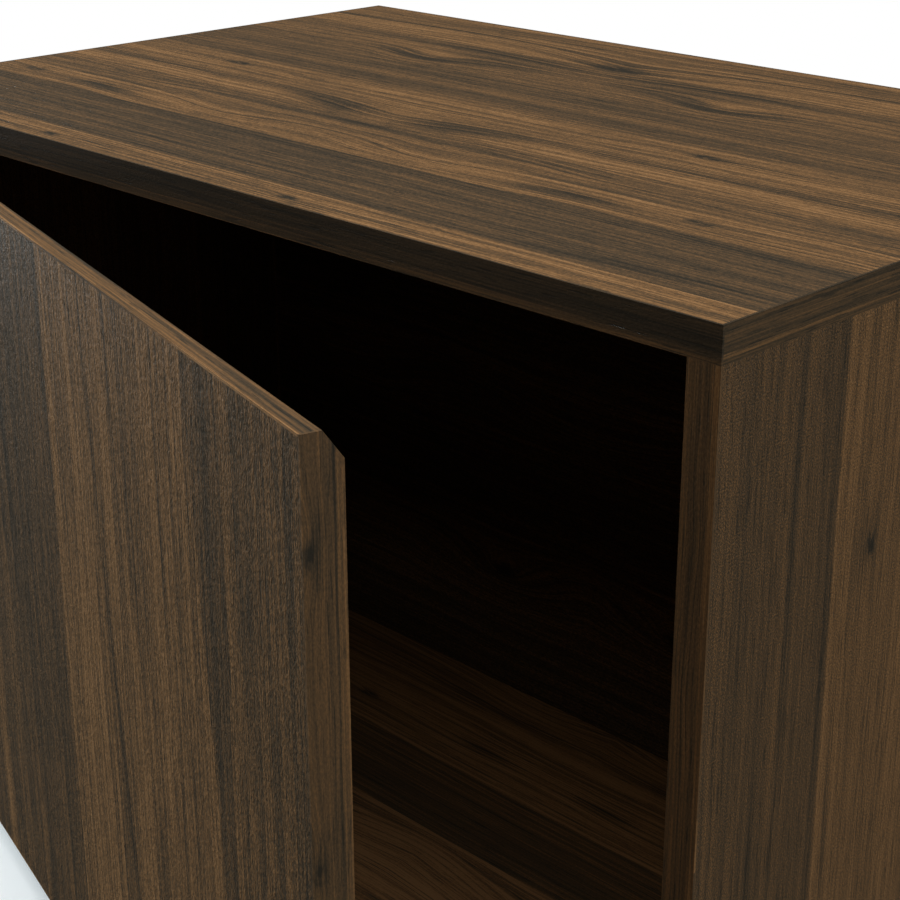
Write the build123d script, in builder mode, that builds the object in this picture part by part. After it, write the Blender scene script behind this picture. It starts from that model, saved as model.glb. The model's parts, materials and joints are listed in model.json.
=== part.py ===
from build123d import *
import os
from math import cos, hypot, radians, sin

# Cube storage unit: a laminated board box with one inset door on two butt hinges.
# Millimetres, +X to the right, +Y to the back, +Z up.
# The origin is the centre of the underside. The door is modelled ajar.

# Carcass
width = 604.0
depth = 400.0
height = 412.0
board = 15.0
band = 1.0                # thickness of every edge band
compartment_depth = 288.0  # from the front edges to the back panel

# Door
door_board = 16.0
door_width = 546.0
door_top_gap = 2.0
door_bottom_gap = 2.5
door_flat = 8.25          # flat part of the top edge, in front of the bevel
bevel_drop = 11.0
ajar = 15.0               # degrees open

# Butt hinges
hinge_gap = 3.0           # between the left side and the closed door
axis_ahead = 3.0          # pin centre in front of the closed door's face
leaf_thickness = 1.2
leaf_reach = 11.0         # how far a leaf goes in past the front edges
leaf_height = 60.0
knuckles = 5
knuckle_gap = 0.3
barrel_radius = 2.6
bore_radius = 1.3
pin_radius = 1.25
pin_head = 1.2
pin_head_radius = 2.3
hinge_inset = 70.0        # from the door's ends to a hinge's middle

# Countersunk wood screws
head_radius = 2.65
screw_radius = 1.4
screw_length = 12.0
screw_tip = 2.0
recess = (3.4, 0.7, 1.6)  # one bar of the cross recess: length, width and depth
fit = 0.1                 # clearance round a screw
screw_rows = (-22.0, 0.0, 22.0)

# Cam fittings and dowels
cam_radius = 7.5
cam_depth = 12.5
cam_distance = 34.0       # from a joint to the centre of its cam
cam_fit = 0.05
cam_slot = (6.0, 1.4, 4.0)
cap_radius = 8.6
cap_thickness = 0.6
cap_prong = (4.6, 1.0, 1.6)
bolt_hole_radius = 4.0
bolt_head_radius = 3.2
bolt_gap = 7.4            # height of the space in a cam for the bolt's head
thread_radius = 2.5
thread_depth = 11.0
dowel_radius = 4.0
dowel_in_end = 22.0
dowel_in_face = 11.0
cam_rows = (-150.0, 150.0)
dowel_rows = (-118.0, 118.0)
back_cam_heights = (80.0, 332.0)
back_dowel_heights = (112.0, 300.0)
back_dowel_columns = (-150.0, 150.0)

# Magnetic catch
catch_x = 225.0
catch_length = 32.0
catch_depth = 15.0
catch_height = 13.0
catch_back_off = 2.3      # from the closed door's back face to the housing
ear_length = 8.0
ear_height = 3.0
ear_set_back = 2.0
magnet_size = (26.0, 11.0, 4.0)
pole_thickness = 1.5
pole_reach = 0.8          # how far the poles stand out of the housing
strike_size = (38.0, 10.0, 1.2)
strike_hole_offset = 14.0
strike_lift = 0.5         # above the door's bottom edge

# Derived places
front = -depth / 2
back = depth / 2
inner_x = width / 2 - board
inner_top = height - board
back_middle = front + compartment_depth + board / 2
door_bottom = board + door_bottom_gap
door_top = inner_top - door_top_gap
door_back = front + door_board
axis_x = -inner_x + hinge_gap / 2
axis_y = front - axis_ahead
hinge_edge = hinge_gap / 2
free_edge = hinge_edge + door_width
hinge_heights = {"lower": door_bottom + hinge_inset, "upper": door_top - hinge_inset}

LOW = (Align.CENTER, Align.CENTER, Align.MIN)
HIGH = (Align.CENTER, Align.CENTER, Align.MAX)
CORNER = (Align.MIN, Align.MIN, Align.MIN)

# The door's own frame: X from the hinge axis to the free edge, Y from the axis into the
# cabinet, Z up. It is turned open about the hinge axis.
door_x = Vector(cos(radians(ajar)), -sin(radians(ajar)), 0)
door_frame = Plane(origin=(axis_x, axis_y, 0), x_dir=door_x, z_dir=(0, 0, 1))
frame_side = Plane(origin=(axis_x, axis_y, 0))

os.makedirs("parts", exist_ok=True)


def write(piece, name):
    """Label a finished piece and write its STEP file."""
    piece.part.label = name
    export_step(piece.part, f"parts/{name}.step")


def box_between(low, high, plane=Plane.XY):
    """A box from its lowest to its highest corner, in a plane's own coordinates."""
    size = [b - a for a, b in zip(low, high)]
    with Locations(plane * Location(low)):
        Box(*size, align=CORNER)


# ---- joints: +Z goes into the covering board, +X towards the cam's open face ----

def corner_joints(side, end, rows):
    """Joints between a side panel's end and the panel that covers it."""
    level = inner_top if end > 0 else board
    x = side * (width - board) / 2
    return [Plane(origin=(x, y, level), x_dir=(-side, 0, 0), z_dir=(0, 0, end)) for y in rows]


def back_end_joints(side, levels):
    """Joints between an end of the back panel and a side panel."""
    x = side * inner_x
    return [Plane(origin=(x, back_middle, z), x_dir=(0, 1, 0), z_dir=(side, 0, 0)) for z in levels]


def back_edge_joints(end):
    """Dowel joints between the back panel and the top or bottom panel."""
    level = inner_top if end > 0 else board
    return [Plane(origin=(x, back_middle, level), x_dir=(0, 1, 0), z_dir=(0, 0, end))
            for x in back_dowel_columns]


def cam_face(joint):
    """The plane of a cam's open face, for a joint."""
    return joint * Location((board / 2, 0, -cam_distance), (0, 90, 0))


def drill_covering_face(cams, dowels):
    """Holes in the face of the board that covers a joint."""
    with Locations(*cams):
        Cylinder(thread_radius, thread_depth, align=LOW, mode=Mode.SUBTRACT)
    with Locations(*dowels):
        Cylinder(dowel_radius, dowel_in_face, align=LOW, mode=Mode.SUBTRACT)


def drill_dowel_ends(dowels):
    """Dowel holes in the end of a board."""
    with Locations(*dowels):
        Cylinder(dowel_radius, dowel_in_end, align=HIGH, mode=Mode.SUBTRACT)


def drill_cam_ends(cams):
    """Cam pockets and bolt holes in the end of a board."""
    with Locations(*cams):
        Cylinder(bolt_hole_radius, cam_distance, align=HIGH, mode=Mode.SUBTRACT)
    with Locations(*[cam_face(joint) for joint in cams]):
        Cylinder(cam_radius, cam_depth, align=HIGH, mode=Mode.SUBTRACT)


def drill_screws(heads):
    """Pilot holes for screws whose heads lie in the given planes."""
    with Locations(*heads):
        Hole(screw_radius + fit, screw_length + fit)


def screw_set(heads):
    """Countersunk screws with a cross recess, one in each plane."""
    cone_height = head_radius - screw_radius
    with Locations(*heads):
        Cone(screw_radius, head_radius, cone_height, align=HIGH)
        Cylinder(screw_radius, screw_length - screw_tip, align=HIGH)
        for turn in (0, 90):
            Box(*recess, rotation=(0, 0, turn), mode=Mode.SUBTRACT)
    with Locations(*[head * Location((0, 0, screw_tip - screw_length)) for head in heads]):
        Cone(0.3, screw_radius, screw_tip, align=HIGH)


side_cams = {side: corner_joints(side, 1, cam_rows) + corner_joints(side, -1, cam_rows)
             for side in (-1, 1)}
side_dowels = {side: corner_joints(side, 1, dowel_rows) + corner_joints(side, -1, dowel_rows)
               for side in (-1, 1)}
end_cams = {side: back_end_joints(side, back_cam_heights) for side in (-1, 1)}
end_dowels = {side: back_end_joints(side, back_dowel_heights) for side in (-1, 1)}
edge_dowels = {end: back_edge_joints(end) for end in (-1, 1)}

# Screw head planes
screw_y = axis_ahead + leaf_reach / 2 + 0.5
frame_screw_heads = []
door_screw_heads = []
for middle in hinge_heights.values():
    for row in screw_rows:
        place = (leaf_thickness - hinge_edge, screw_y, middle + row)
        frame_screw_heads.append(frame_side * Location(place, (0, 90, 0)))
        place = (hinge_edge - leaf_thickness, screw_y, middle + row)
        door_screw_heads.append(door_frame * Location(place, (0, -90, 0)))

catch_front = door_back + catch_back_off
catch_screw_heads = []
for side in (-1, 1):
    ear_middle = catch_x + side * (catch_length + ear_length) / 2
    place = (ear_middle, catch_front + catch_depth / 2, board + ear_height)
    catch_screw_heads.append(Plane(origin=place))

strike_face = axis_ahead + door_board + strike_size[2]
strike_middle = door_bottom + strike_lift + strike_size[1] / 2
strike_screw_heads = []
for side in (-1, 1):
    place = (catch_x - axis_x + side * strike_hole_offset, strike_face, strike_middle)
    strike_screw_heads.append(door_frame * Location(place, (-90, 0, 0)))


# ---- carcass boards ----

for name, level, end in (("top_panel", inner_top, 1), ("bottom_panel", 0.0, -1)):
    with BuildPart() as flat_panel:
        edge_x = width / 2 - band
        edge_y = depth / 2 - band
        box_between((-edge_x, -edge_y, level), (edge_x, edge_y, level + board))
        for side in (-1, 1):
            drill_covering_face(corner_joints(side, end, cam_rows),
                                corner_joints(side, end, dowel_rows))
        with Locations(*edge_dowels[end]):
            Cylinder(dowel_radius, dowel_in_face, align=LOW, mode=Mode.SUBTRACT)
        if end < 0:
            drill_screws(catch_screw_heads)
    write(flat_panel, name)

for name, side in (("left_side", -1), ("right_side", 1)):
    with BuildPart() as side_panel:
        near, far = sorted((side * inner_x, side * width / 2))
        box_between((near, front + band, board), (far, back - band, inner_top))
        drill_cam_ends(side_cams[side])
        drill_dowel_ends(side_dowels[side])
        drill_covering_face(end_cams[side], end_dowels[side])
        if side < 0:
            drill_screws(frame_screw_heads)
    write(side_panel, name)

with BuildPart() as back_panel:
    box_between((-inner_x, back_middle - board / 2, board),
                (inner_x, back_middle + board / 2, inner_top))
    for side in (-1, 1):
        drill_cam_ends(end_cams[side])
        drill_dowel_ends(end_dowels[side] + edge_dowels[side])
write(back_panel, "back_panel")


# ---- carcass edge bands ----

for name, level in (("top", inner_top), ("bottom", 0.0)):
    for place, y in (("front", front), ("back", back - band)):
        with BuildPart() as long_band:
            box_between((-width / 2, y, level), (width / 2, y + band, level + board))
        write(long_band, f"{name}_{place}_band")
    for place, x in (("left", -width / 2), ("right", width / 2 - band)):
        with BuildPart() as short_band:
            box_between((x, front + band, level), (x + band, back - band, level + board))
        write(short_band, f"{name}_{place}_band")

for name, x in (("left", -width / 2), ("right", inner_x)):
    for place, y in (("front", front), ("back", back - band)):
        with BuildPart() as upright_band:
            box_between((x, y, board), (x + board, y + band, inner_top))
        write(upright_band, f"{name}_{place}_band")


# ---- door: its section is drawn in Y and Z, with a bevel on the top back edge ----

bevel_depth = door_board - door_flat
slope = hypot(bevel_depth, bevel_drop)
normal_y = bevel_drop / slope
normal_z = bevel_depth / slope
face_y = axis_ahead
rear_y = axis_ahead + door_board
bevel_start = face_y + door_flat
bevel_foot = door_top - bevel_drop
# The core stops one band's thickness under the flat and the bevel.
core_top = door_top - band
core_bevel_start = bevel_start - band * (1 - normal_z) / normal_y
core_bevel_foot = bevel_foot - band / normal_z

outer_section = [(face_y, door_bottom), (rear_y, door_bottom), (rear_y, bevel_foot),
                 (bevel_start, door_top), (face_y, door_top)]
core_section = [(face_y, door_bottom + band), (rear_y, door_bottom + band),
                (rear_y, core_bevel_foot), (core_bevel_start, core_top), (face_y, core_top)]
top_band_section = [(face_y, core_top), (core_bevel_start, core_top), (rear_y, core_bevel_foot),
                    (rear_y, bevel_foot), (bevel_start, door_top), (face_y, door_top)]
bottom_band_section = [(face_y, door_bottom), (rear_y, door_bottom),
                       (rear_y, door_bottom + band), (face_y, door_bottom + band)]


def door_section_plane(x):
    """Across the door at a distance from the hinge axis: local X is depth, local Y is up."""
    start = door_frame.from_local_coords((x, 0, 0))
    return Plane(origin=start, x_dir=door_frame.y_dir, z_dir=door_frame.x_dir)


def door_strip(section, start, end):
    """A section of the door carried along its width."""
    with BuildSketch(door_section_plane(start)) as outline:
        with BuildLine():
            Polyline(*section, close=True)
        make_face()
    extrude(outline.sketch, amount=end - start)


with BuildPart() as door_panel:
    door_strip(core_section, hinge_edge + band, free_edge - band)
    drill_screws(door_screw_heads)
    drill_screws(strike_screw_heads)
write(door_panel, "door_panel")

with BuildPart() as door_top_band:
    door_strip(top_band_section, hinge_edge + band, free_edge - band)
write(door_top_band, "door_top_band")

with BuildPart() as door_bottom_band:
    door_strip(bottom_band_section, hinge_edge + band, free_edge - band)
write(door_bottom_band, "door_bottom_band")

with BuildPart() as door_hinge_band:
    door_strip(outer_section, hinge_edge, hinge_edge + band)
    drill_screws(door_screw_heads)
write(door_hinge_band, "door_hinge_band")

with BuildPart() as door_free_band:
    door_strip(outer_section, free_edge - band, free_edge)
write(door_free_band, "door_free_band")


# ---- butt hinges ----

pitch = leaf_height / knuckles
plate_start = barrel_radius + 0.3   # clear of the other leaf's knuckles


def hinge_leaf(plane, side, middle, own_knuckles, heads):
    """One leaf: a plate against the board, and knuckles round the pin."""
    near, far = sorted((side * hinge_edge, side * (hinge_edge - leaf_thickness)))
    low = middle - leaf_height / 2
    box_between((near, plate_start, low), (far, axis_ahead + leaf_reach, low + leaf_height), plane)
    for index in own_knuckles:
        start = low + index * pitch + knuckle_gap / 2
        top = start + pitch - knuckle_gap
        box_between((near, bore_radius, start), (far, plate_start, top), plane)
        with Locations(plane * Location((0, 0, start))):
            Cylinder(barrel_radius, pitch - knuckle_gap, align=LOW)
    with Locations(plane * Location((0, 0, low))):
        Cylinder(bore_radius, leaf_height, align=LOW, mode=Mode.SUBTRACT)
    with Locations(*heads):
        CounterSinkHole(screw_radius + fit, head_radius + fit, 2 * leaf_thickness, 90)


for number, (place, middle) in enumerate(hinge_heights.items()):
    own_heads = slice(number * len(screw_rows), (number + 1) * len(screw_rows))
    with BuildPart() as frame_leaf:
        hinge_leaf(frame_side, -1, middle, range(0, knuckles, 2), frame_screw_heads[own_heads])
    write(frame_leaf, f"{place}_hinge_frame_leaf")

    with BuildPart() as door_leaf:
        hinge_leaf(door_frame, 1, middle, range(1, knuckles, 2), door_screw_heads[own_heads])
    write(door_leaf, f"{place}_hinge_door_leaf")

    with BuildPart(frame_side.offset(middle)) as pin:
        Cylinder(pin_radius, leaf_height + 2 * pin_head)
        with Locations((0, 0, leaf_height / 2 + pin_head)):
            Cylinder(pin_head_radius, pin_head, align=HIGH)
        with Locations((0, 0, -leaf_height / 2 - pin_head)):
            Cylinder(pin_head_radius, pin_head, align=LOW)
        rims = pin.edges().filter_by(GeomType.CIRCLE).group_by(Axis.Z)
        fillet(rims[0] + rims[-1], 0.5)
    write(pin, f"{place}_hinge_pin")

with BuildPart() as hinge_frame_screws:
    screw_set(frame_screw_heads)
write(hinge_frame_screws, "hinge_frame_screws")

with BuildPart() as hinge_door_screws:
    screw_set(door_screw_heads)
write(hinge_door_screws, "hinge_door_screws")


# ---- magnetic catch, screwed to the bottom panel behind the door's free corner ----

magnet_level = board + catch_height / 2
stack_height = magnet_size[2] + 2 * pole_thickness

with BuildPart() as catch_housing:
    half = catch_length / 2
    box_between((catch_x - half, catch_front, board),
                (catch_x + half, catch_front + catch_depth, board + catch_height))
    fillet(catch_housing.edges().filter_by(Axis.Y).group_by(Axis.Z)[-1], 2.0)
    reach = half + ear_length
    box_between((catch_x - reach, catch_front + ear_set_back, board),
                (catch_x + reach, catch_front + catch_depth - ear_set_back, board + ear_height))
    corners = catch_housing.edges().filter_by(Axis.Z).group_by(Axis.X)
    fillet(corners[0] + corners[-1], 3.0)
    slot_depth = magnet_size[1] + 1.5
    slot_half = magnet_size[0] / 2 + fit
    slot_corner = (catch_x - slot_half, catch_front, magnet_level - stack_height / 2 - fit)
    with Locations(slot_corner):
        Box(2 * slot_half, slot_depth, stack_height + 2 * fit, align=CORNER, mode=Mode.SUBTRACT)
    with Locations(*catch_screw_heads):
        CounterSinkHole(screw_radius + fit, head_radius + fit, 2 * ear_height, 90)
write(catch_housing, "catch_housing")

with BuildPart() as catch_magnet:
    with Locations((catch_x, catch_front + slot_depth - magnet_size[1] / 2, magnet_level)):
        Box(*magnet_size)
write(catch_magnet, "catch_magnet")

with BuildPart() as catch_pole_plates:
    pole_depth = slot_depth + pole_reach
    for side in (-1, 1):
        level = magnet_level + side * (magnet_size[2] + pole_thickness) / 2
        with Locations((catch_x, catch_front + slot_depth - pole_depth / 2, level)):
            Box(magnet_size[0], pole_depth, pole_thickness)
write(catch_pole_plates, "catch_pole_plates")

with BuildPart() as catch_screws:
    screw_set(catch_screw_heads)
write(catch_screws, "catch_screws")

with BuildPart() as strike_plate:
    middle_x = catch_x - axis_x
    box_between((middle_x - strike_size[0] / 2, strike_face - strike_size[2],
                 strike_middle - strike_size[1] / 2),
                (middle_x + strike_size[0] / 2, strike_face, strike_middle + strike_size[1] / 2),
                door_frame)
    with Locations(*strike_screw_heads):
        CounterSinkHole(screw_radius + fit, head_radius + fit, 2 * strike_size[2], 90)
write(strike_plate, "strike_plate")

with BuildPart() as strike_screws:
    screw_set(strike_screw_heads)
write(strike_screws, "strike_screws")


# ---- cam fittings and dowels ----

all_cams = side_cams[-1] + side_cams[1] + end_cams[-1] + end_cams[1]
all_dowels = side_dowels[-1] + side_dowels[1] + end_dowels[-1] + end_dowels[1]
all_dowels += edge_dowels[-1] + edge_dowels[1]
cam_faces = [cam_face(joint) for joint in all_cams]

# Each step of a cam bolt: radius, start and end along the joint's Z.
bolt_steps = ((bolt_head_radius, -cam_distance - 1.5, -cam_distance + 1.5),
              (1.9, -cam_distance + 1.5, -cam_distance + 5.0),
              (2.9, -cam_distance + 5.0, -1.0),
              (3.6, -1.0, 0.0),
              (thread_radius - cam_fit, 0.0, thread_depth - 0.5))

with BuildPart() as cam_bolts:
    for radius, start, end in bolt_steps:
        with Locations(*[joint * Location((0, 0, start)) for joint in all_cams]):
            Cylinder(radius, end - start, align=LOW)
write(cam_bolts, "cam_bolts")

with BuildPart() as cam_locks:
    with Locations(*cam_faces):
        Cylinder(cam_radius - cam_fit, cam_depth - 0.3, align=HIGH)
        for turn in (0, 90):
            Box(*cam_slot, rotation=(0, 0, turn), mode=Mode.SUBTRACT)
    with Locations(*[face * Location((0, 0, -board / 2)) for face in cam_faces]):
        Cylinder(bolt_hole_radius, bolt_gap, mode=Mode.SUBTRACT)
    with Locations(*[joint * Location((0, 0, -cam_distance)) for joint in all_cams]):
        Cylinder(bolt_head_radius, cam_radius, align=LOW, mode=Mode.SUBTRACT)
write(cam_locks, "cam_locks")

with BuildPart() as cam_caps:
    with Locations(*cam_faces):
        Cone(cap_radius, cap_radius - 0.5, cap_thickness, align=LOW)
        for turn in (0, 90):
            Box(*cap_prong, rotation=(0, 0, turn), align=HIGH)
write(cam_caps, "cam_caps")

dowel_end = 1.5           # length of the taper at each end
dowel_outer = dowel_radius - cam_fit
with BuildPart() as wood_dowels:
    length = dowel_in_end + dowel_in_face - 1.0
    start = 0.5 - dowel_in_end
    with Locations(*[joint * Location((0, 0, start)) for joint in all_dowels]):
        Cone(dowel_outer - 1.0, dowel_outer, dowel_end, align=LOW)
    with Locations(*[joint * Location((0, 0, start + dowel_end)) for joint in all_dowels]):
        Cylinder(dowel_outer, length - 2 * dowel_end, align=LOW)
    with Locations(*[joint * Location((0, 0, start + length)) for joint in all_dowels]):
        Cone(dowel_outer, dowel_outer - 1.0, dowel_end, align=HIGH)
write(wood_dowels, "wood_dowels")
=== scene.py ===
import json
import math

import bpy
from mathutils import Matrix, Vector

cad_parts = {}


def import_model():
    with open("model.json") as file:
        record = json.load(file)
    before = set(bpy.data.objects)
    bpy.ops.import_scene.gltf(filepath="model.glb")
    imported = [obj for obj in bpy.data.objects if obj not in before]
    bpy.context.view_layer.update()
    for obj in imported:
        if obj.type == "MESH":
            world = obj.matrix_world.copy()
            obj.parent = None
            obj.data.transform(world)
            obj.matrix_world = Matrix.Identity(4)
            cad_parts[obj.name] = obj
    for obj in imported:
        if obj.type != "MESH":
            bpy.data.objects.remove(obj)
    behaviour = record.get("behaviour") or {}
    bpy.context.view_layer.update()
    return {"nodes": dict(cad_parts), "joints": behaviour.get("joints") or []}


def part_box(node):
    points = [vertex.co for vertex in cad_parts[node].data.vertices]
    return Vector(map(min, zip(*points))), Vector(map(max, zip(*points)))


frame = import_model()

MM = 0.001
nodes = frame["nodes"]
scene = bpy.context.scene


# ---- places, read from the frame ----

carcass_low = Vector((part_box("bottom_front_band")[0].x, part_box("bottom_front_band")[0].y, 0.0))
carcass_high = Vector(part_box("top_right_band")[1])
carcass_high.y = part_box("top_back_band")[1].y
front_top_right = Vector((carcass_high.x, carcass_low.y, carcass_high.z))

door_joint = frame["joints"][0]
hinge_axis = Vector(door_joint["pos_m"])
ajar = math.radians(-door_joint["range_deg"][0])
door_along = Vector((math.cos(ajar), -math.sin(ajar), 0.0))
door_inward = Vector((math.sin(ajar), math.cos(ajar), 0.0))


# ---- shader-building helper ----

class Graph:
    """Short names for the shader nodes that the materials use."""

    def __init__(self, tree):
        self.tree = tree

    def node(self, kind, **settings):
        made = self.tree.nodes.new(kind)
        for name, value in settings.items():
            setattr(made, name, value)
        return made

    def feed(self, socket, value):
        if isinstance(value, bpy.types.NodeSocket):
            self.tree.links.new(value, socket)
        else:
            socket.default_value = value

    def math(self, operation, *values):
        made = self.node("ShaderNodeMath", operation=operation)
        for socket, value in zip(made.inputs, values):
            self.feed(socket, value)
        return made.outputs[0]

    def vector(self, operation, *values):
        made = self.node("ShaderNodeVectorMath", operation=operation)
        for socket, value in zip(made.inputs, values):
            self.feed(socket, value)
        return made.outputs[1] if operation in ("DOT_PRODUCT", "LENGTH") else made.outputs[0]

    def split(self, vector):
        made = self.node("ShaderNodeSeparateXYZ")
        self.feed(made.inputs[0], vector)
        return made.outputs

    def join(self, x, y, z):
        made = self.node("ShaderNodeCombineXYZ")
        for socket, value in zip(made.inputs, (x, y, z)):
            self.feed(socket, value)
        return made.outputs[0]

    def noise(self, vector, detail=2.0, roughness=0.5):
        """A noise from about 0 to 1, one feature per unit of the vector."""
        made = self.node("ShaderNodeTexNoise")
        self.feed(made.inputs["Vector"], vector)
        made.inputs["Scale"].default_value = 1.0
        made.inputs["Detail"].default_value = detail
        made.inputs["Roughness"].default_value = roughness
        return made.outputs["Fac"]

    def step(self, value, low, high, start=0.0, end=1.0):
        """A smooth step from start at low to end at high."""
        made = self.node("ShaderNodeMapRange", interpolation_type="SMOOTHSTEP")
        for socket, number in zip(made.inputs, (value, low, high, start, end)):
            self.feed(socket, number)
        return made.outputs[0]

    def mix(self, factor, a, b):
        made = self.node("ShaderNodeMix", data_type="RGBA")
        self.feed(made.inputs["Factor"], factor)
        self.feed(made.inputs["A"], a)
        self.feed(made.inputs["B"], b)
        return made.outputs["Result"]

    def ramp(self, value, stops, interpolation="LINEAR"):
        made = self.node("ShaderNodeValToRGB")
        made.color_ramp.interpolation = interpolation
        elements = made.color_ramp.elements
        while len(elements) < len(stops):
            elements.new(0.5)
        for element, (position, color) in zip(elements, stops):
            element.position = position
            element.color = (*color, 1.0)
        self.feed(made.inputs[0], value)
        return made.outputs["Color"]


def new_material(name):
    """An empty material's graph and its main shader."""
    material = bpy.data.materials.new(name)
    material.use_nodes = True
    material.node_tree.nodes.clear()
    graph = Graph(material.node_tree)
    shader = graph.node("ShaderNodeBsdfPrincipled")
    output = graph.node("ShaderNodeOutputMaterial")
    material.node_tree.links.new(shader.outputs[0], output.inputs[0])
    return material, graph, shader


def roughen(g, shader, height, strength, distance):
    """A bump on a shader from a height."""
    bump = g.node("ShaderNodeBump")
    bump.inputs["Strength"].default_value = strength
    bump.inputs["Distance"].default_value = distance
    g.feed(bump.inputs["Height"], height)
    g.feed(shader.inputs["Normal"], bump.outputs[0])


# ---- walnut laminate ----

# Linear colours of the print by tone: smoky, dark, middle, tan and light.
WALNUT = ((0.00, (0.034, 0.028, 0.020)),
          (0.28, (0.068, 0.047, 0.028)),
          (0.55, (0.128, 0.074, 0.036)),
          (0.80, (0.225, 0.117, 0.048)),
          (1.00, (0.320, 0.172, 0.074)))

# Lengths here are in mm, and tones are on the scale of WALNUT.
EDGE_SEED = 3.0            # which noise the strips' edges take
EDGE_WOBBLE = 1.6          # how far those edges wander
LAST_STRIP = 100.0         # from the last strip's start to the end of the print
STRIP_SEED = 23.0          # spreads the strips' noises apart
DRIFT = 46.0               # how far growth lines wander over some 180 of length
SLOW_DRIFT = 7.0           # the same, over some 400
KNOT_DEPTH = 0.85          # tone taken away at a knot's middle
PORE_DEPTH = 0.13          # tone taken away in a pore
# The pebble's swing of tone is partly print and partly painted shade and painted glints of the
# pressed relief.
PEBBLE_TONE_AND_SHADE = 0.42         # swing of tone over the press plate's marks
PEBBLE_HEIGHT = 0.30       # height of those marks


def grain_place(g, along, across, origin):
    """Distances in mm along the grain, across it and into the board."""
    along = Vector(along)
    across = Vector(across)
    turn = Matrix((along, across, along.cross(across)))
    mapping = g.node("ShaderNodeMapping", vector_type="POINT")
    mapping.inputs["Scale"].default_value = (1.0 / MM,) * 3
    mapping.inputs["Rotation"].default_value = turn.to_euler("XYZ")
    mapping.inputs["Location"].default_value = -(turn @ Vector(origin)) / MM
    g.feed(mapping.inputs["Vector"], g.node("ShaderNodeTexCoord").outputs["Object"])
    return g.split(mapping.outputs[0])


def near(g, u, v, middle, reach, lean=0.0):
    """1 at the middle, fading to 0 past its reach; the patch may lean across the grain."""
    du = g.math("SUBTRACT", u, middle[0])
    dv = g.math("SUBTRACT", v, middle[1])
    if lean:
        dv = g.math("MULTIPLY_ADD", du, -lean, dv)
    offset = g.vector("DIVIDE", g.join(du, dv, 0.0), (*reach, 1.0))
    return g.math("EXPONENT", g.math("MULTIPLY", g.vector("DOT_PRODUCT", offset, offset), -1.0))


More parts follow.
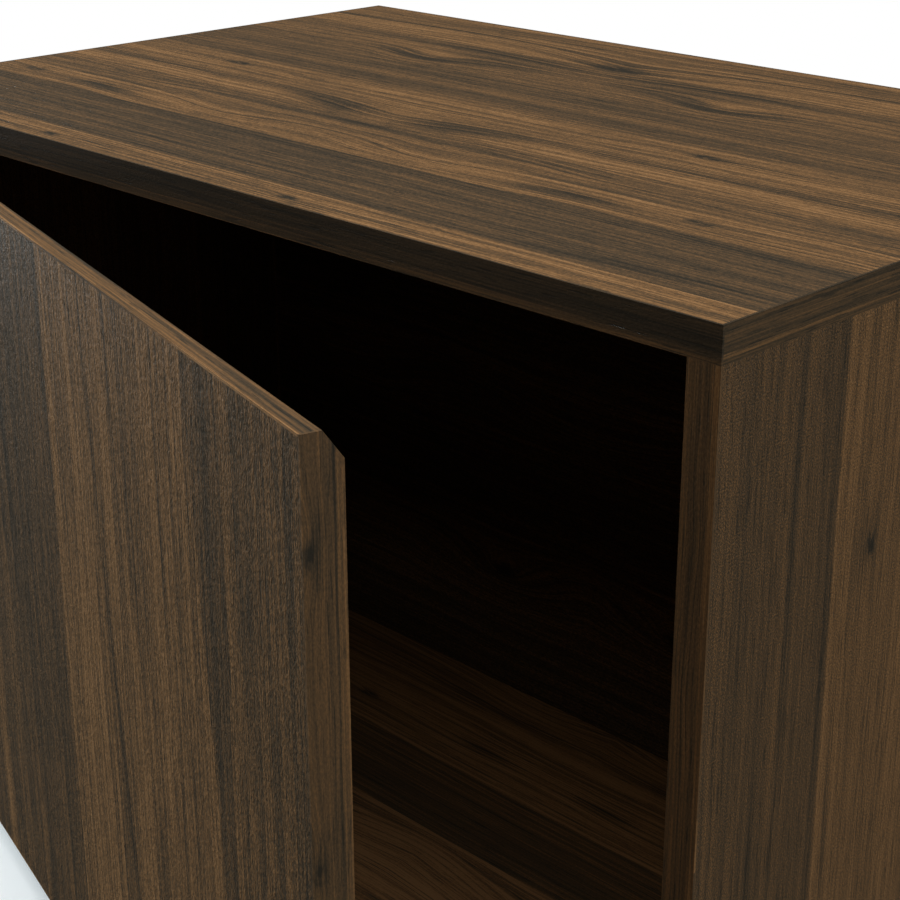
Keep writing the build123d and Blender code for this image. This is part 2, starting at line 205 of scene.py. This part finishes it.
def laminate(name, along, across, origin, planks, eyes=(), streaks=(), knots=(),
             mirror=None, lean=None, lines=1.0, texture=1.0, pebbles=(0.6, 1.2), seed=0.0):
    """Printed walnut laminate in plank-wide strips. All places and sizes are in mm.

    planks: (start across the grain, tone from 0 smoky to 1 light, how far the grain wanders)
    eyes: (along, across, length, width, bow) where the growth lines bow aside
    streaks: (along, across, length, width, lean, strength) dark, or light where negative
    knots: (along, across, length, width)
    mirror: the place along the grain where the print is book-matched
    lean: (start, end, slope, level) where the strips' edges lean across the grain
    lines, texture: how strong the growth lines and the press plate's marks are; texture also scales
    the painted shade and glints in the marks' colour
    pebbles: how many of the press plate's marks there are per mm, along and across
    """
    material, g, shader = new_material(name)
    true_u, v, w = grain_place(g, along, across, origin)
    u = true_u
    if mirror is not None:
        u = g.math("ABSOLUTE", g.math("SUBTRACT", true_u, mirror))

    def field(per_u, per_v, shift, height=v, detail=2.0, roughness=0.5, base=u):
        """A noise with so many features per mm along and across the grain."""
        place = g.join(g.math("MULTIPLY", base, per_u), g.math("MULTIPLY", height, per_v), shift)
        return g.noise(place, detail=detail, roughness=roughness)

    def swing(noise, amount, low=0.36, high=0.64):
        """A noise as a swing of half the amount to each side of 0."""
        return g.math("MULTIPLY", g.math("SUBTRACT", g.step(noise, low, high), 0.5), amount)

    # The strips, with crisp edges that wander a little.
    wobble = field(0.009, 0.0, seed + EDGE_SEED, detail=1.0)
    strip_place = g.math("ADD", v, swing(wobble, EDGE_WOBBLE, 0.2, 0.8))
    if lean:
        first, last, slope, level = lean
        slide = g.math("MULTIPLY", g.math("SUBTRACT", true_u, level), slope)
        strip_place = g.math("MULTIPLY_ADD", slide, g.step(v, first, last), strip_place)
    span = planks[-1][0] + LAST_STRIP
    stops = []
    for number, (start, tone, wander) in enumerate(planks):
        own_seed = (0.37 * (number + 1) + seed) % 1.0
        stops.append((start / span, (tone, own_seed, wander)))
    strip = g.node("ShaderNodeSeparateColor")
    g.feed(strip.inputs[0], g.ramp(g.math("DIVIDE", strip_place, span), stops, "CONSTANT"))
    tone, own_seed, wander = strip.outputs
    shuffle = g.math("MULTIPLY_ADD", own_seed, STRIP_SEED, seed)

    # Growth lines follow the levels of a height that drifts and bows along the board.
    drift = g.math("SUBTRACT", field(0.0055, 0.020, shuffle), 0.5)
    level = g.math("MULTIPLY_ADD", g.math("MULTIPLY", drift, DRIFT), wander, v)
    slow = g.math("SUBTRACT", field(0.0025, 0.008, shuffle, detail=1.0), 0.5)
    level = g.math("MULTIPLY_ADD", g.math("MULTIPLY", slow, SLOW_DRIFT),
                   g.math("ADD", wander, 0.15), level)
    for along_mm, across_mm, length, breadth, bow in eyes:
        bulge = near(g, u, v, (along_mm, across_mm), (length, breadth))
        level = g.math("MULTIPLY_ADD", bulge, bow, level)
    for along_mm, across_mm, length, breadth in knots:
        bulge = near(g, u, v, (along_mm, across_mm), (1.6 * length, 1.6 * breadth))
        level = g.math("MULTIPLY_ADD", bulge, 0.9 * breadth, level)

    broad = field(0.0022, 0.13, shuffle, level)
    rings = field(0.0042, 0.50, shuffle, level, roughness=0.6)
    fine = field(0.0120, 1.25, shuffle, level, roughness=0.6)
    hair = field(0.0350, 1.60, shuffle, detail=1.0)
    depth_of_lines = g.math("MULTIPLY_ADD", tone, 0.75 * lines, 0.30 * lines)
    ripple = g.math("ADD", swing(broad, 0.20, 0.42, 0.58), swing(rings, 0.32, 0.40, 0.60))
    ripple = g.math("ADD", ripple, swing(fine, 0.34, 0.40, 0.60))
    ripple = g.math("ADD", ripple, swing(hair, 0.16))
    shade = g.math("MULTIPLY_ADD", ripple, depth_of_lines, tone)

    # Smoky streaks and knots, broken up by the growth lines.
    broken = g.math("ADD", g.step(rings, 0.30, 0.62, 1.10, 0.70), swing(fine, -0.25))
    for along_mm, across_mm, length, breadth, slant, strength in streaks:
        patch = near(g, u, level, (along_mm, across_mm), (length, breadth), slant)
        shade = g.math("MULTIPLY_ADD", g.math("MULTIPLY", patch, broken), -strength, shade)
    ragged = g.step(field(0.13, 0.42, shuffle), 0.25, 0.6)
    for along_mm, across_mm, length, breadth in knots:
        patch = near(g, u, v, (along_mm, across_mm), (length, breadth))
        shade = g.math("MULTIPLY_ADD", g.math("MULTIPLY", patch, ragged), -KNOT_DEPTH, shade)

    # Pores: short dark dashes along the grain.
    pore = g.step(field(0.060, 1.00, shuffle, detail=1.0, base=true_u), 0.60, 0.70)
    shade = g.math("MULTIPLY_ADD", pore, -PORE_DEPTH * (1.0 + lines), shade)

    # The press plate's fine texture: a crisp pebble, longer along the grain.
    pebble = g.noise(g.vector("MULTIPLY", g.join(true_u, v, w), (*pebbles, pebbles[1])),
                     detail=1.0, roughness=0.7)
    # This swing of colour is partly print and partly painted shade and painted glints of the
    # pressed relief; the bump below is the real relief.
    shade = g.math("ADD", shade, swing(pebble, PEBBLE_TONE_AND_SHADE * texture, 0.3, 0.7))
    g.feed(shader.inputs["Base Color"], g.ramp(shade, WALNUT))
    height = g.math("MULTIPLY_ADD", pore, -0.4, pebble)
    roughen(g, shader, height, 1.0, PEBBLE_HEIGHT * MM * texture)
    g.feed(shader.inputs["Roughness"], g.step(pebble, 0.3, 0.7, 0.30, 0.44))
    shader.inputs["Specular IOR Level"].default_value = 0.10
    return material


def use(material, *names):
    """Give a material to CAD nodes."""
    for name in names:
        slots = nodes[name].data.materials
        slots.clear()
        slots.append(material)


X = Vector((1, 0, 0))
Y = Vector((0, 1, 0))
Z = Vector((0, 0, 1))

# The top is book-matched near the middle of its length.
top_print = dict(
    planks=((0, 0.66, 0.1), (20, 0.38, 0.12), (82, 0.61, 0.5), (144, 0.69, 0.3),
            (206, 0.45, 0.15), (268, 0.55, 0.35), (330, 0.65, 0.3), (392, 0.72, 0.1)),
    eyes=((0, 152, 60, 22, 11), (72, 104, 52, 15, 11), (109, 286, 36, 19, 11),
          (0, 342, 70, 24, 15)),
    streaks=((173, 100, 26, 6.5, 0, 0.55), (46, 159, 34, 9, 0, 0.52), (190, 168, 190, 5.5, 0, 0.46),
             (0, 133, 34, 2.2, 0, 0.6), (0, 77, 420, 4.5, 0, 0.28), (250, 30, 60, 4, 0.05, 0.35),
             (109, 290, 34, 5.5, 0, 0.5), (109, 302, 15, 7, 0, -0.22), (0, 352, 34, 9, 0, 0.45),
             (190, 363, 130, 3, 0, 0.4), (70, 322, 70, 9, 0, 0.25), (60, 305, 45, 14, 0, 0.2)),
    knots=((242, 101, 8, 3), (172, 195, 8, 3), (0, 334, 13, 6), (90, 9, 5, 2)),
    mirror=274, texture=0.5)
use(laminate("walnut_top", X, Y, carcass_low, **top_print), "top_panel")

# The bottom's strips take the lightest tones: partly print, partly painted light for the inside
# floor, which the lamps barely reach.
bottom_print_and_light = dict(
    planks=((0, 0.86, 0.4), (73, 0.92, 0.4), (135, 0.46, 0.12), (190, 0.82, 0.3), (252, 0.74, 0.3),
            (314, 0.36, 0.15), (376, 0.72, 0.2)),
    eyes=((90, 108, 70, 18, 9), (60, 285, 60, 22, 12)),
    streaks=((60, 128, 60, 3, 0, 0.4), (50, 222, 20, 3, 0, 0.5), (120, 262, 90, 3, 0, 0.35)),
    knots=((150, 218, 7, 3), (60, 292, 9, 4)),
    mirror=330, texture=0.5, seed=0.41)
use(laminate("walnut_bottom", X, Y, carcass_low, **bottom_print_and_light), "bottom_panel")

# The back's strips take only dark tones: painted shade for the dim inside of the unit.
back_print_and_shade = dict(
    planks=((0, 0.30, 0.3), (60, 0.42, 0.4), (122, 0.26, 0.15), (184, 0.38, 0.4),
            (246, 0.26, 0.15), (308, 0.42, 0.4), (370, 0.30, 0.2)),
    eyes=((70, 92, 50, 20, 16), (120, 214, 60, 20, -14)),
    knots=((70, 96, 8, 4), (180, 335, 7, 3)),
    mirror=300, seed=0.63)
use(laminate("walnut_back", X, Z, carcass_low, **back_print_and_shade), "back_panel")

side_print = dict(
    planks=((0, 0.46, 0.12), (80, 0.63, 0.2), (160, 0.50, 0.25), (222, 0.38, 0.12),
            (284, 0.64, 0.4), (346, 0.46, 0.2)),
    streaks=((270, 50, 160, 2, 0, 0.30), (330, 22, 120, 2.5, 0, 0.22), (120, 36, 110, 2, 0, 0.25),
             (250, 78, 400, 2.5, 0, 0.20), (250, 81.5, 400, 1.2, 0, -0.30),
             (170, 88, 40, 1.5, 0, 0.4), (296, 104, 16, 7, 0, 0.22)),
    knots=((295, 106, 4, 2.6), (120, 180, 6, 3), (210, 320, 8, 4)),
    lines=0.5, texture=1.2, pebbles=(1.2, 1.5))
use(laminate("walnut_right", Z, Y, carcass_low, seed=0.17, **side_print), "right_side")
use(laminate("walnut_left", Z, Y, carcass_low, seed=0.55, **side_print), "left_side")

door_print = dict(
    planks=((0, 0.48, 0.2), (60, 0.66, 0.3), (122, 0.44, 0.12), (285, 0.67, 0.12),
            (445, 0.50, 0.10)),
    eyes=((90, 30, 60, 18, 10),),
    streaks=((60, 160, 70, 7, 0, -0.32), (330, 232, 200, 16, 0, 0.12),
             (210, 352, 170, 2.5, -0.09, 0.42), (220, 388, 150, 2, -0.03, 0.28),
             (330, 418, 90, 2, -0.02, 0.30), (200, 312, 170, 16, 0, -0.12),
             (180, 281, 260, 3, 0, 0.20), (312, 501, 16, 2.5, 0, 0.45),
             (340, 470, 120, 10, 0, 0.10)),
    knots=((230, 195, 6, 2),),
    lean=(395, 430, 0.085, 396), seed=0.29)
use(laminate("walnut_door", Z, door_along, hinge_axis, **door_print), "door_panel")

# ---- edge bands: the same print, cut into narrow strips with the grain along them ----

flat_band = dict(streaks=((300, 4.6, 900, 0.5, 0, 0.2),), texture=0.25)
# The long bands, front and back, take darker tones than the short ones: partly print, partly
# painted shade for the dim front-facing band.
long_band_and_shade = dict(planks=((0, 0.35, 0.02), (4, 0.18, 0.03)), **flat_band)
short_band = dict(planks=((0, 0.54, 0.02), (4, 0.36, 0.03)), **flat_band)
upright_band = dict(
    planks=((0, 0.56, 0.04), (12.4, 0.78, 0.02), (14.7, 0.50, 0.02)),
    eyes=((250, 7, 20, 4, 1.5), (313, 8, 18, 4, -1.5), (90, 6, 22, 4, 1.5)),
    streaks=((250, 6, 400, 0.7, 0, 0.40), (250, 9, 400, 1.6, 0, 0.18)),
    lines=0.6, texture=0.4)
for level_name in ("top", "bottom"):
    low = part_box(f"{level_name}_front_band")[0]
    use(laminate(f"band_{level_name}_long", X, Z, low, seed=0.71, **long_band_and_shade),
        f"{level_name}_front_band", f"{level_name}_back_band")
    use(laminate(f"band_{level_name}_short", Y, Z, low, seed=0.82, **short_band),
        f"{level_name}_left_band", f"{level_name}_right_band")
for side in ("left", "right"):
    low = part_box(f"{side}_front_band")[0]
    use(laminate(f"band_{side}_upright", Z, X, low, seed=0.93, **upright_band),
        f"{side}_front_band", f"{side}_back_band")

door_face = hinge_axis + door_inward * (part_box("door_free_band")[0] - hinge_axis).dot(door_inward)
door_top_print = dict(
    planks=((0, 0.76, 0.02), (0.9, 0.52, 0.05), (6, 0.58, 0.05)),
    streaks=((300, 3, 500, 0.4, 0, -0.2), (300, 5, 500, 0.4, 0, 0.25),
             (300, 8.5, 500, 0.5, 0, 0.25)),
    texture=0.25)
door_upright_print = dict(
    planks=((0, 0.50, 0.15), (12.6, 0.60, 0.02)),
    eyes=((354, 1, 20, 6, -5), (230, 1, 22, 6, -5), (110, 1, 20, 6, -5)),
    streaks=((354, 2, 13, 3, 0, 0.25), (230, 2, 14, 3, 0, 0.25), (110, 2, 13, 3, 0, 0.25),
             (290, 11.8, 300, 0.5, 0, 0.30)),
    knots=((352, 2.5, 4, 1.8), (230, 2.5, 5, 1.8), (110, 2.5, 4, 1.8)),
    lines=0.6, texture=0.4)
use(laminate("band_door_top", door_along, door_inward, door_face, seed=0.12, **door_top_print),
    "door_top_band", "door_bottom_band")
use(laminate("band_door_upright", Z, door_inward, door_face, seed=0.35, **door_upright_print),
    "door_free_band", "door_hinge_band")


# ---- metal and plastic ----

def metal(name, color, roughness, brushed=0.15):
    """Metal with a fine upright grain and slightly duller blotches."""
    material, g, shader = new_material(name)
    place = g.node("ShaderNodeTexCoord").outputs["Object"]
    grain = g.noise(g.vector("MULTIPLY", place, (4000.0, 4000.0, 300.0)),
                    detail=3.0, roughness=0.6)
    blotch = g.noise(g.vector("MULTIPLY", place, (220.0, 220.0, 220.0)), detail=3.0)
    darker = tuple(0.72 * c for c in color)
    g.feed(shader.inputs["Base Color"],
           g.mix(g.step(blotch, 0.35, 0.7), (*darker, 1.0), (*color, 1.0)))
    shader.inputs["Metallic"].default_value = 1.0
    g.feed(shader.inputs["Roughness"],
           g.step(grain, 0.3, 0.7, roughness - brushed / 2, roughness + brushed))
    roughen(g, shader, grain, 0.2, 0.03 * MM)
    return material


def plastic(name, color, roughness):
    """Moulded plastic with a fine spark texture and a faint change of shade."""
    material, g, shader = new_material(name)
    place = g.node("ShaderNodeTexCoord").outputs["Object"]
    spark = g.noise(g.vector("MULTIPLY", place, (2500.0, 2500.0, 2500.0)), detail=2.0)
    cloud = g.noise(g.vector("MULTIPLY", place, (90.0, 90.0, 90.0)), detail=2.0)
    lighter = tuple(1.35 * c for c in color)
    g.feed(shader.inputs["Base Color"],
           g.mix(g.step(cloud, 0.3, 0.7), (*color, 1.0), (*lighter, 1.0)))
    g.feed(shader.inputs["Roughness"], g.step(spark, 0.3, 0.7, roughness - 0.08, roughness + 0.08))
    roughen(g, shader, spark, 0.25, 0.05 * MM)
    return material


def beech():
    """Pale wood with short darker flecks along the dowels' length."""
    material, g, shader = new_material("beech")
    u, v, w = grain_place(g, X, Y, carcass_low)
    streak = g.noise(g.vector("MULTIPLY", g.join(u, v, w), (0.08, 1.2, 1.2)), detail=3.0)
    fleck = g.noise(g.vector("MULTIPLY", g.join(u, v, w), (0.7, 2.6, 2.6)), detail=1.0)
    color = g.mix(g.step(streak, 0.35, 0.65), (0.46, 0.29, 0.16, 1.0), (0.60, 0.41, 0.25, 1.0))
    color = g.mix(g.step(fleck, 0.62, 0.72, 0.0, 0.6), color, (0.28, 0.15, 0.07, 1.0))
    g.feed(shader.inputs["Base Color"], color)
    g.feed(shader.inputs["Roughness"], g.step(streak, 0.3, 0.7, 0.55, 0.70))
    return material


hinge_parts = [n for n in nodes if "hinge" in n and not n.endswith(("screws", "band"))]
screws = [n for n in nodes if n.endswith("screws")]
use(metal("satin_nickel", (0.62, 0.59, 0.54), 0.30), *hinge_parts)
use(metal("bright_zinc", (0.66, 0.67, 0.68), 0.28), *screws, "strike_plate", "catch_pole_plates")
use(metal("yellow_zinc", (0.70, 0.56, 0.30), 0.30), "cam_bolts")
use(metal("cast_zinc", (0.50, 0.50, 0.51), 0.45), "cam_locks")
use(metal("sintered_magnet", (0.10, 0.10, 0.105), 0.55), "catch_magnet")
use(plastic("brown_plastic", (0.045, 0.028, 0.018), 0.45), "catch_housing")
use(plastic("cap_plastic", (0.080, 0.050, 0.030), 0.50), "cam_caps")
use(beech(), "wood_dowels")


# ---- soft edges on the CAD pieces ----

def soften(name, amount):
    """Round a node's sharp edges by an amount."""
    bevel = nodes[name].modifiers.new("arris", "BEVEL")
    bevel.width = amount
    bevel.segments = 3
    bevel.limit_method = "ANGLE"
    bevel.angle_limit = math.radians(40)


for name in nodes:
    if name.endswith("_band"):
        soften(name, 0.25 * MM)
    elif name.endswith(("_panel", "_side")):
        soften(name, 0.08 * MM)


# ---- floor, light and camera ----

FLOOR_SIZE = 4.0
FLOOR_DROP = 0.5 * MM          # keeps the floor clear of the underside
FADE = (0.9, 1.9)              # where the floor starts and ends its change to white
SKY_LIGHT = 0.04               # the white backdrop's light on the unit

LENS = 75.6                    # mm, on a sensor 36 mm wide
RISE = -0.0178                 # the lens's shift
EYE = Vector((370.0, -500.1, 201.6)) * MM       # from the top's front right corner
LOOK_DOWN, ROLL, TURN = 21.43, 0.06, 45.12      # degrees


def stage_floor():
    """A pale floor that brightens to white away from the unit, as a studio's paper does."""
    bpy.ops.mesh.primitive_plane_add(size=FLOOR_SIZE, location=(0, 0, -FLOOR_DROP))
    floor = bpy.context.object
    floor.name = "floor"
    material, g, shader = new_material("pale_floor")
    place = g.node("ShaderNodeTexCoord").outputs["Object"]
    cloud = g.noise(g.vector("MULTIPLY", place, (3.0, 3.0, 3.0)), detail=3.0)
    g.feed(shader.inputs["Base Color"],
           g.mix(cloud, (0.86, 0.86, 0.86, 1.0), (0.90, 0.90, 0.90, 1.0)))
    shader.inputs["Roughness"].default_value = 0.6
    shader.inputs["Emission Color"].default_value = (1.0, 1.0, 0.985, 1.0)
    away = g.vector("LENGTH", place)
    g.feed(shader.inputs["Emission Strength"], g.step(away, *FADE, 0.02, 1.0))
    floor.data.materials.append(material)
    floor.visible_diffuse = False
    floor.visible_glossy = False


def area_light(name, place, target, size, power, color=(1.0, 1.0, 1.0)):
    """A rectangular light that points at a target, in metres and watts."""
    data = bpy.data.lights.new(name, "AREA")
    data.shape = "RECTANGLE"
    data.size, data.size_y = size
    data.energy = power
    data.color = color
    light = bpy.data.objects.new(name, data)
    light.location = place
    light.rotation_euler = (Vector(target) - Vector(place)).to_track_quat("-Z", "Y").to_euler()
    scene.collection.objects.link(light)


def world():
    """White behind the unit, and a faint light on it from all around."""
    sky = bpy.data.worlds.new("studio")
    sky.use_nodes = True
    sky.node_tree.nodes.clear()
    g = Graph(sky.node_tree)
    seen = g.node("ShaderNodeLightPath").outputs["Is Camera Ray"]
    background = g.node("ShaderNodeBackground")
    background.inputs["Color"].default_value = (1, 1, 1, 1)
    g.feed(background.inputs["Strength"],
           g.math("MULTIPLY_ADD", seen, 1.0 - SKY_LIGHT, SKY_LIGHT))
    output = g.node("ShaderNodeOutputWorld")
    sky.node_tree.links.new(background.outputs[0], output.inputs[0])
    scene.world = sky


def camera():
    data = bpy.data.cameras.new("camera")
    data.lens = LENS
    data.sensor_width = 36.0
    data.clip_end = 50.0
    data.shift_y = RISE
    eye = bpy.data.objects.new("camera", data)
    eye.location = front_top_right + EYE
    eye.rotation_euler = (math.radians(90 - LOOK_DOWN), math.radians(ROLL), math.radians(TURN))
    scene.collection.objects.link(eye)
    scene.camera = eye


stage_floor()
middle = (0.0, 0.0, 0.25)
area_light("overhead", (0.2, -0.2, 2.6), middle, (2.2, 1.8), 43.5)
area_light("left", (-3.0, -0.25, 0.9), middle, (0.5, 1.6), 174.0, (0.84, 0.95, 1.0))
area_light("right", (3.0, 0.4, 0.8), middle, (1.4, 1.4), 34.0, (0.95, 1.0, 1.0))
area_light("front", (0.5, -1.7, 2.4), middle, (0.8, 0.8), 7.2, (1.0, 0.95, 0.86))
world()
camera()
scene.view_settings.view_transform = "Standard"
